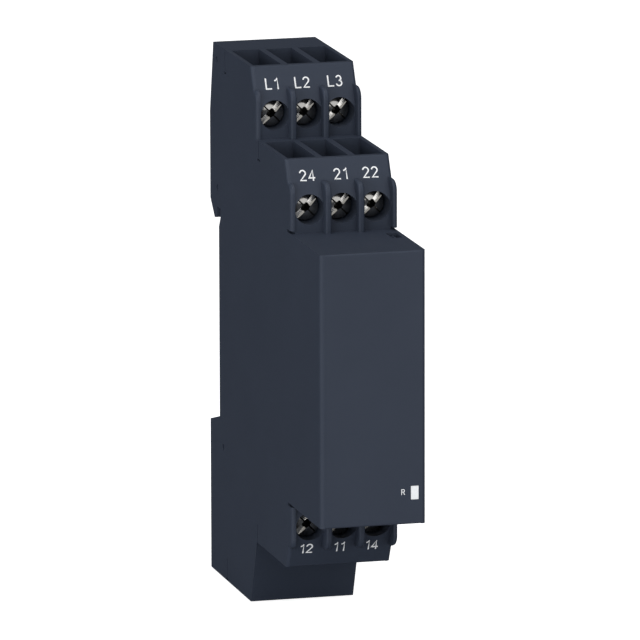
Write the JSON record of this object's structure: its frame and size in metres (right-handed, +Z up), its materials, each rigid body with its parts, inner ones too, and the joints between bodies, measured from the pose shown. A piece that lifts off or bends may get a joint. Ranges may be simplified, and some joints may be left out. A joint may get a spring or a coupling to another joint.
{
  "type": "three-phase control relay",
  "caption": "Slim modular control relay for a mounting rail: stepped dark housing, clamp screw terminals in rows above and below a blank front with a status window.",
  "frame": {"origin": "centre of the face that rests on the mounting rail", "axes": "+X across the module to the right seen from the front, +Y back towards the rail, +Z up"},
  "size_m": [0.0176, 0.072, 0.09],
  "materials": {
    "grey_plastic": "fine sparked texture",
    "black_plastic": "satin",
    "clear_plastic": "polished, milky clear",
    "white_plastic": "satin",
    "relay_cover_plastic": "glossy blue",
    "yellow_plastic": "satin",
    "blue_lacquer": "dipped lacquer",
    "board_laminate": "solder mask over glass epoxy",
    "capacitor_can": "sleeved can",
    "nickel_steel": "bright nickel plate on steel",
    "zinc_steel": "zinc plate on steel",
    "tinned_copper": "tin plate on brass",
    "soft_iron": "nickel flash on iron",
    "enamelled_copper": "enamelled winding wire",
    "contact_bronze": "bronze strip with silver rivets"
  },
  "bodies": {
    "casing": {"circuit_board": "board_laminate", "contact_bar_lower_1": "tinned_copper", "contact_bar_lower_2": "tinned_copper", "contact_bar_lower_3": "tinned_copper", "contact_bar_middle_1": "tinned_copper", "contact_bar_middle_2": "tinned_copper", "contact_bar_middle_3": "tinned_copper", "contact_bar_upper_1": "tinned_copper", "contact_bar_upper_2": "tinned_copper", "contact_bar_upper_3": "tinned_copper", "film_capacitor": "yellow_plastic", "housing": "grey_plastic", "light_guide": "clear_plastic", "microcontroller": "black_plastic", "relay_1_base": "black_plastic", "relay_1_bobbin": "white_plastic", "relay_1_closed_contact": "contact_bronze", "relay_1_core": "soft_iron", "relay_1_cover": "relay_cover_plastic", "relay_1_open_contact": "contact_bronze", "relay_1_winding": "enamelled_copper", "relay_1_yoke": "soft_iron", "relay_2_base": "black_plastic", "relay_2_bobbin": "white_plastic", "relay_2_closed_contact": "contact_bronze", "relay_2_core": "soft_iron", "relay_2_cover": "relay_cover_plastic", "relay_2_open_contact": "contact_bronze", "relay_2_winding": "enamelled_copper", "relay_2_yoke": "soft_iron", "side_cover": "grey_plastic", "smoothing_capacitor": "capacitor_can", "status_led": "white_plastic", "terminal_block_lower": "grey_plastic", "terminal_block_middle": "grey_plastic", "terminal_block_upper": "grey_plastic", "varistor": "blue_lacquer"},
    "rail_latch": {"rail_latch": "black_plastic"},
    "relay_1_armature": {"relay_1_armature": "soft_iron", "relay_1_moving_contact": "contact_bronze"},
    "relay_2_armature": {"relay_2_armature": "soft_iron", "relay_2_moving_contact": "contact_bronze"},
    "screw_upper_1": {"terminal_screw_upper_1": "nickel_steel"},
    "cage_upper_1": {"clamp_cage_upper_1": "zinc_steel"},
    "screw_upper_2": {"terminal_screw_upper_2": "nickel_steel"},
    "cage_upper_2": {"clamp_cage_upper_2": "zinc_steel"},
    "screw_upper_3": {"terminal_screw_upper_3": "nickel_steel"},
    "cage_upper_3": {"clamp_cage_upper_3": "zinc_steel"},
    "screw_middle_1": {"terminal_screw_middle_1": "nickel_steel"},
    "cage_middle_1": {"clamp_cage_middle_1": "zinc_steel"},
    "screw_middle_2": {"terminal_screw_middle_2": "nickel_steel"},
    "cage_middle_2": {"clamp_cage_middle_2": "zinc_steel"},
    "screw_middle_3": {"terminal_screw_middle_3": "nickel_steel"},
    "cage_middle_3": {"clamp_cage_middle_3": "zinc_steel"},
    "screw_lower_1": {"terminal_screw_lower_1": "nickel_steel"},
    "cage_lower_1": {"clamp_cage_lower_1": "zinc_steel"},
    "screw_lower_2": {"terminal_screw_lower_2": "nickel_steel"},
    "cage_lower_2": {"clamp_cage_lower_2": "zinc_steel"},
    "screw_lower_3": {"terminal_screw_lower_3": "nickel_steel"},
    "cage_lower_3": {"clamp_cage_lower_3": "zinc_steel"}
  },
  "joints": [
    {"name": "screw_turn_upper_1", "type": "hinge", "parent": "casing", "child": "screw_upper_1", "pos_m": [-0.0055, -0.0251, 0.0373], "axis": [0, 1, 0], "range_deg": [0, 1728.1]},
    {"name": "cage_rise_upper_1", "type": "slide", "parent": "casing", "child": "cage_upper_1", "axis": [0, -1, 0], "range_m": [0, 0.0024]},
    {"name": "screw_turn_upper_2", "type": "hinge", "parent": "casing", "child": "screw_upper_2", "pos_m": [0, -0.0251, 0.0373], "axis": [0, 1, 0], "range_deg": [0, 1728.1]},
    {"name": "cage_rise_upper_2", "type": "slide", "parent": "casing", "child": "cage_upper_2", "axis": [0, -1, 0], "range_m": [0, 0.0024]},
    {"name": "screw_turn_upper_3", "type": "hinge", "parent": "casing", "child": "screw_upper_3", "pos_m": [0.0055, -0.0251, 0.0373], "axis": [0, 1, 0], "range_deg": [0, 1728.1]},
    {"name": "cage_rise_upper_3", "type": "slide", "parent": "casing", "child": "cage_upper_3", "axis": [0, -1, 0], "range_m": [0, 0.0024]},
    {"name": "screw_turn_middle_1", "type": "hinge", "parent": "casing", "child": "screw_middle_1", "pos_m": [-0.0055, -0.0471, 0.0257], "axis": [0, 1, 0], "range_deg": [0, 1728.1]},
    {"name": "cage_rise_middle_1", "type": "slide", "parent": "casing", "child": "cage_middle_1", "axis": [0, -1, 0], "range_m": [0, 0.0024]},
    {"name": "screw_turn_middle_2", "type": "hinge", "parent": "casing", "child": "screw_middle_2", "pos_m": [0, -0.0471, 0.0257], "axis": [0, 1, 0], "range_deg": [0, 1728.1]},
    {"name": "cage_rise_middle_2", "type": "slide", "parent": "casing", "child": "cage_middle_2", "axis": [0, -1, 0], "range_m": [0, 0.0024]},
    {"name": "screw_turn_middle_3", "type": "hinge", "parent": "casing", "child": "screw_middle_3", "pos_m": [0.0055, -0.0471, 0.0257], "axis": [0, 1, 0], "range_deg": [0, 1728.1]},
    {"name": "cage_rise_middle_3", "type": "slide", "parent": "casing", "child": "cage_middle_3", "axis": [0, -1, 0], "range_m": [0, 0.0024]},
    {"name": "screw_turn_lower_1", "type": "hinge", "parent": "casing", "child": "screw_lower_1", "pos_m": [-0.0055, -0.0471, -0.0267], "axis": [0, 1, 0], "range_deg": [0, 1728.1]},
    {"name": "cage_rise_lower_1", "type": "slide", "parent": "casing", "child": "cage_lower_1", "axis": [0, -1, 0], "range_m": [0, 0.0024]},
    {"name": "screw_turn_lower_2", "type": "hinge", "parent": "casing", "child": "screw_lower_2", "pos_m": [0, -0.0471, -0.0267], "axis": [0, 1, 0], "range_deg": [0, 1728.1]},
    {"name": "cage_rise_lower_2", "type": "slide", "parent": "casing", "child": "cage_lower_2", "axis": [0, -1, 0], "range_m": [0, 0.0024]},
    {"name": "screw_turn_lower_3", "type": "hinge", "parent": "casing", "child": "screw_lower_3", "pos_m": [0.0055, -0.0471, -0.0267], "axis": [0, 1, 0], "range_deg": [0, 1728.1]},
    {"name": "cage_rise_lower_3", "type": "slide", "parent": "casing", "child": "cage_lower_3", "axis": [0, -1, 0], "range_m": [0, 0.0024]},
    {"name": "latch_slide", "type": "slide", "parent": "casing", "child": "rail_latch", "axis": [0, 0, 1], "range_m": [0, 0.0022]},
    {"name": "relay_1_pull_in", "type": "hinge", "parent": "casing", "child": "relay_1_armature", "pos_m": [0.0054, -0.055, 0.00365], "axis": [0, -1, 0], "range_deg": [0, 4], "stiffness_Nm_per_rad": 0.005, "springref_deg": -5.73},
    {"name": "relay_2_pull_in", "type": "hinge", "parent": "casing", "child": "relay_2_armature", "pos_m": [0.0054, -0.044, 0.00365], "axis": [0, -1, 0], "range_deg": [0, 4], "stiffness_Nm_per_rad": 0.005, "springref_deg": -5.73}
  ],
  "couplings": [
    {"joint": "screw_turn_upper_1", "follows": "cage_rise_upper_1", "rad_per_m": 12566},
    {"joint": "screw_turn_upper_2", "follows": "cage_rise_upper_2", "rad_per_m": 12566},
    {"joint": "screw_turn_upper_3", "follows": "cage_rise_upper_3", "rad_per_m": 12566},
    {"joint": "screw_turn_middle_1", "follows": "cage_rise_middle_1", "rad_per_m": 12566},
    {"joint": "screw_turn_middle_2", "follows": "cage_rise_middle_2", "rad_per_m": 12566},
    {"joint": "screw_turn_middle_3", "follows": "cage_rise_middle_3", "rad_per_m": 12566},
    {"joint": "screw_turn_lower_1", "follows": "cage_rise_lower_1", "rad_per_m": 12566},
    {"joint": "screw_turn_lower_2", "follows": "cage_rise_lower_2", "rad_per_m": 12566},
    {"joint": "screw_turn_lower_3", "follows": "cage_rise_lower_3", "rad_per_m": 12566}
  ]
}
